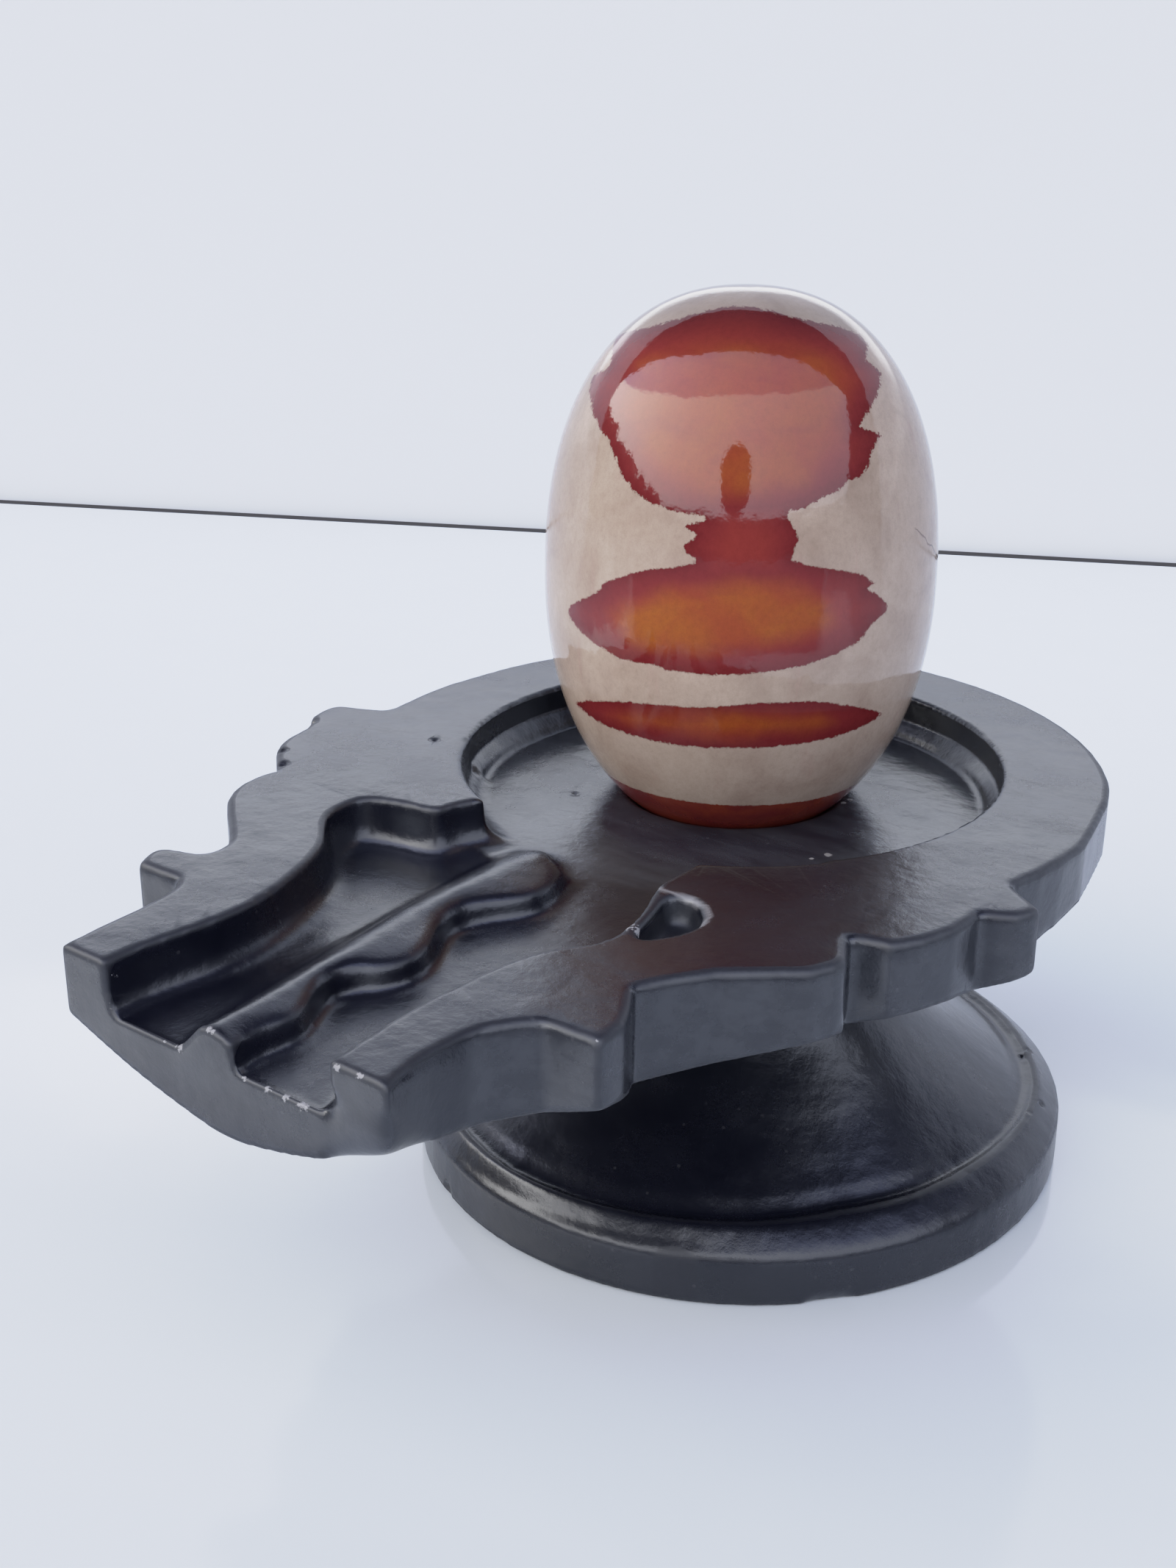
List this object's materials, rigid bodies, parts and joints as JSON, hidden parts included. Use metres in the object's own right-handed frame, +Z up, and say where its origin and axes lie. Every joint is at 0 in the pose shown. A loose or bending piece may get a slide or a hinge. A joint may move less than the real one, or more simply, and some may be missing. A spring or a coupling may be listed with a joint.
{
  "type": "shiva lingam stone in yoni base",
  "caption": "Polished cream and red egg-shaped lingam stone standing in the basin of a carved black yoni base with a scalloped drain spout and a round foot.",
  "frame": {"origin": "on the axis of the basin, at the plane that the foot stands on", "axes": "+Z up along the basin's axis; -Y along the drain spout; +X to the right when the spout points at the viewer"},
  "size_m": [0.1159, 0.1474, 0.1225],
  "materials": {
    "banded_stone": "highly polished cream-tan jasper with iron-red bands",
    "black_stone": "hand-carved black stone with a satin polish"
  },
  "bodies": {
    "root": {"lingam_stone": "banded_stone", "yoni_base": "black_stone"}
  },
  "joints": []
}
